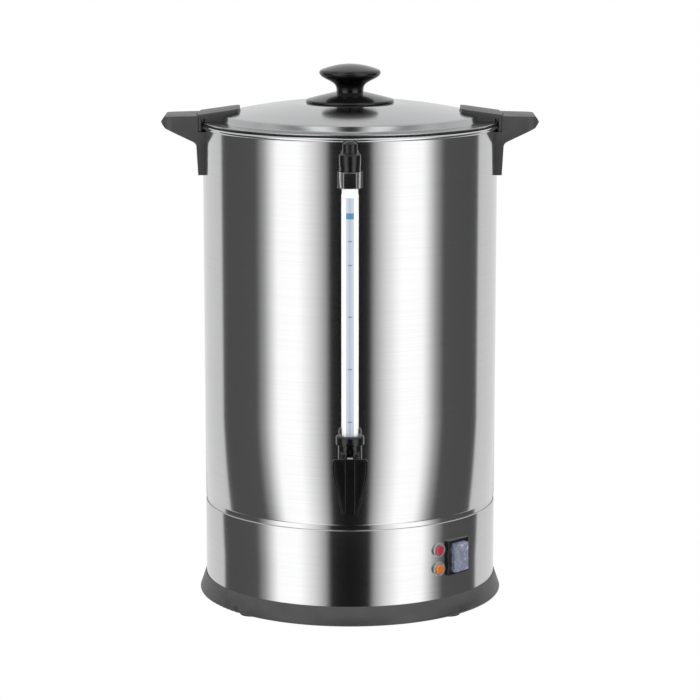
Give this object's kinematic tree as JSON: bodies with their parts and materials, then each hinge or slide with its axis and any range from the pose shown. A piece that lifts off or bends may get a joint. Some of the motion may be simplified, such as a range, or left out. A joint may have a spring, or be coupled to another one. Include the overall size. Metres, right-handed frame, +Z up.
{
  "type": "hot water urn",
  "caption": "Electric steel urn that boils water and serves it from a lever tap, with a level gauge tube, side handles, a lift-off lid with ears, rocker switch and pilot lamps.",
  "frame": {"origin": "centre of the circle that the feet stand on, on the table", "axes": "Z up along the axis of the vessel, -Y towards the front with the tap, X to the right seen from the front"},
  "size_m": [0.3442, 0.3312, 0.4945],
  "materials": {
    "tank_steel": "fine lengthwise brushed grain around the body",
    "skirt_steel": "fine brushed grain around the body",
    "ring_plastic": "dark grey satin moulding",
    "cover_steel": "zinc plated sheet",
    "screw_steel": "plated",
    "foot_rubber": "matt",
    "plate_aluminium": "plain",
    "element_steel": "annealed sheath",
    "thermostat_metal": "plain",
    "block_plastic": "ivory moulding",
    "lead_sleeve": "silicone sleeve",
    "gland_plastic": "nylon",
    "switch_plastic": "moulded",
    "tab_brass": "plain",
    "rocker_plastic": "moulded",
    "hood_clear": "soft clear",
    "bezel_chrome": "polished",
    "nut_steel": "plated",
    "lens_red": "translucent red",
    "lens_amber": "translucent amber",
    "handle_plastic": "fine texture",
    "seal_rubber": "moulded",
    "insert_brass": "knurled",
    "lid_steel": "satin",
    "lid_inner_steel": "satin",
    "lid_seal_silicone": "moulded silicone",
    "knob_disc_plastic": "moulded",
    "knob_plastic": "glossy moulding",
    "washer_steel": "plain",
    "ear_plastic": "fine texture",
    "tee_plastic": "satin moulding",
    "locknut_plastic": "moulded",
    "fitting_plastic": "satin moulding",
    "gauge_glass": "clear tube",
    "stripe_enamel": "white backing with a blue line",
    "lower_nut_plastic": "satin moulding",
    "nut_chrome": "polished",
    "tap_plastic": "satin moulding",
    "bonnet_plastic": "satin moulding",
    "stem_steel": "turned",
    "plug_silicone": "moulded silicone",
    "pin_steel": "ground",
    "spring_steel": "drawn wire",
    "lever_plastic": "satin moulding"
  },
  "bodies": {
    "vessel": {"tank": "tank_steel", "tank_floor": "tank_steel", "skirt": "skirt_steel", "base_ring": "ring_plastic", "bottom_cover": "cover_steel", "base_screws": "screw_steel", "rubber_feet": "foot_rubber", "heater_plate": "plate_aluminium", "boil_element": "element_steel", "keep_warm_element": "element_steel", "boil_thermostat": "thermostat_metal", "keep_warm_thermostat": "thermostat_metal", "dry_boil_cutout": "thermostat_metal", "terminal_block": "block_plastic", "inner_leads": "lead_sleeve", "cord_gland": "gland_plastic", "gland_locknut": "gland_plastic", "switch_housing": "switch_plastic", "switch_terminals": "tab_brass", "switch_splash_cover": "hood_clear", "lamp_bezels": "bezel_chrome", "lamp_nuts": "nut_steel", "heating_lamp_lens": "lens_red", "keep_warm_lamp_lens": "lens_amber", "handle_left": "handle_plastic", "handle_right": "handle_plastic", "handle_screws": "screw_steel", "handle_screw_seals": "seal_rubber", "handle_inserts": "insert_brass", "gauge_tee": "tee_plastic", "tee_seals": "seal_rubber", "tee_locknut": "locknut_plastic", "gauge_top_fitting": "fitting_plastic", "gauge_top_seals": "seal_rubber", "gauge_top_locknut": "locknut_plastic", "gauge_tube": "gauge_glass", "gauge_stripe": "stripe_enamel", "gauge_seals": "seal_rubber", "gauge_lower_nut": "lower_nut_plastic", "gauge_nut": "nut_chrome", "tap_body": "tap_plastic", "tap_bonnet": "bonnet_plastic", "tap_spring": "spring_steel"},
    "lid_seal": {"lid_seal": "lid_seal_silicone"},
    "lid": {"lid_dome": "lid_steel", "lid_locating_ring": "lid_inner_steel", "knob_base": "knob_disc_plastic", "knob": "knob_plastic", "knob_washer": "washer_steel", "knob_screw": "screw_steel", "lid_ear_left": "ear_plastic", "lid_ear_right": "ear_plastic", "ear_screws": "screw_steel"},
    "tap_stem": {"tap_stem": "stem_steel", "valve_plug": "plug_silicone", "lever_pin": "pin_steel"},
    "tap_lever": {"tap_lever": "lever_plastic"},
    "switch_rocker": {"switch_rocker": "rocker_plastic"}
  },
  "joints": [
    {"name": "lid_lift", "type": "slide", "parent": "vessel", "child": "lid_seal", "axis": [0, 0, 1], "range_m": [0, 0.15]},
    {"name": "lid_turn", "type": "hinge", "parent": "lid_seal", "child": "lid", "pos_m": [0, 0, 0.4435], "axis": [0, 0, 1], "range_deg": [0, 25]},
    {"name": "stem_lift", "type": "slide", "parent": "vessel", "child": "tap_stem", "axis": [0, 0, 1], "range_m": [0, 0.00301], "deforming": ["tap_spring"]},
    {"name": "tap_lever", "type": "hinge", "parent": "tap_stem", "child": "tap_lever", "pos_m": [0, -0.173, 0.1618], "axis": [-1, 0, 0], "range_deg": [0, 75], "stiffness_Nm_per_rad": 0.05, "springref_deg": -17.19},
    {"name": "switch_rocker", "type": "hinge", "parent": "vessel", "child": "switch_rocker", "pos_m": [0.09519, -0.09289, 0.056], "axis": [0.6984, 0.7157, 0], "range_deg": [0, 14]}
  ],
  "couplings": [
    {"joint": "stem_lift", "follows": "tap_lever", "m_per_rad": 0.0022918}
  ]
}
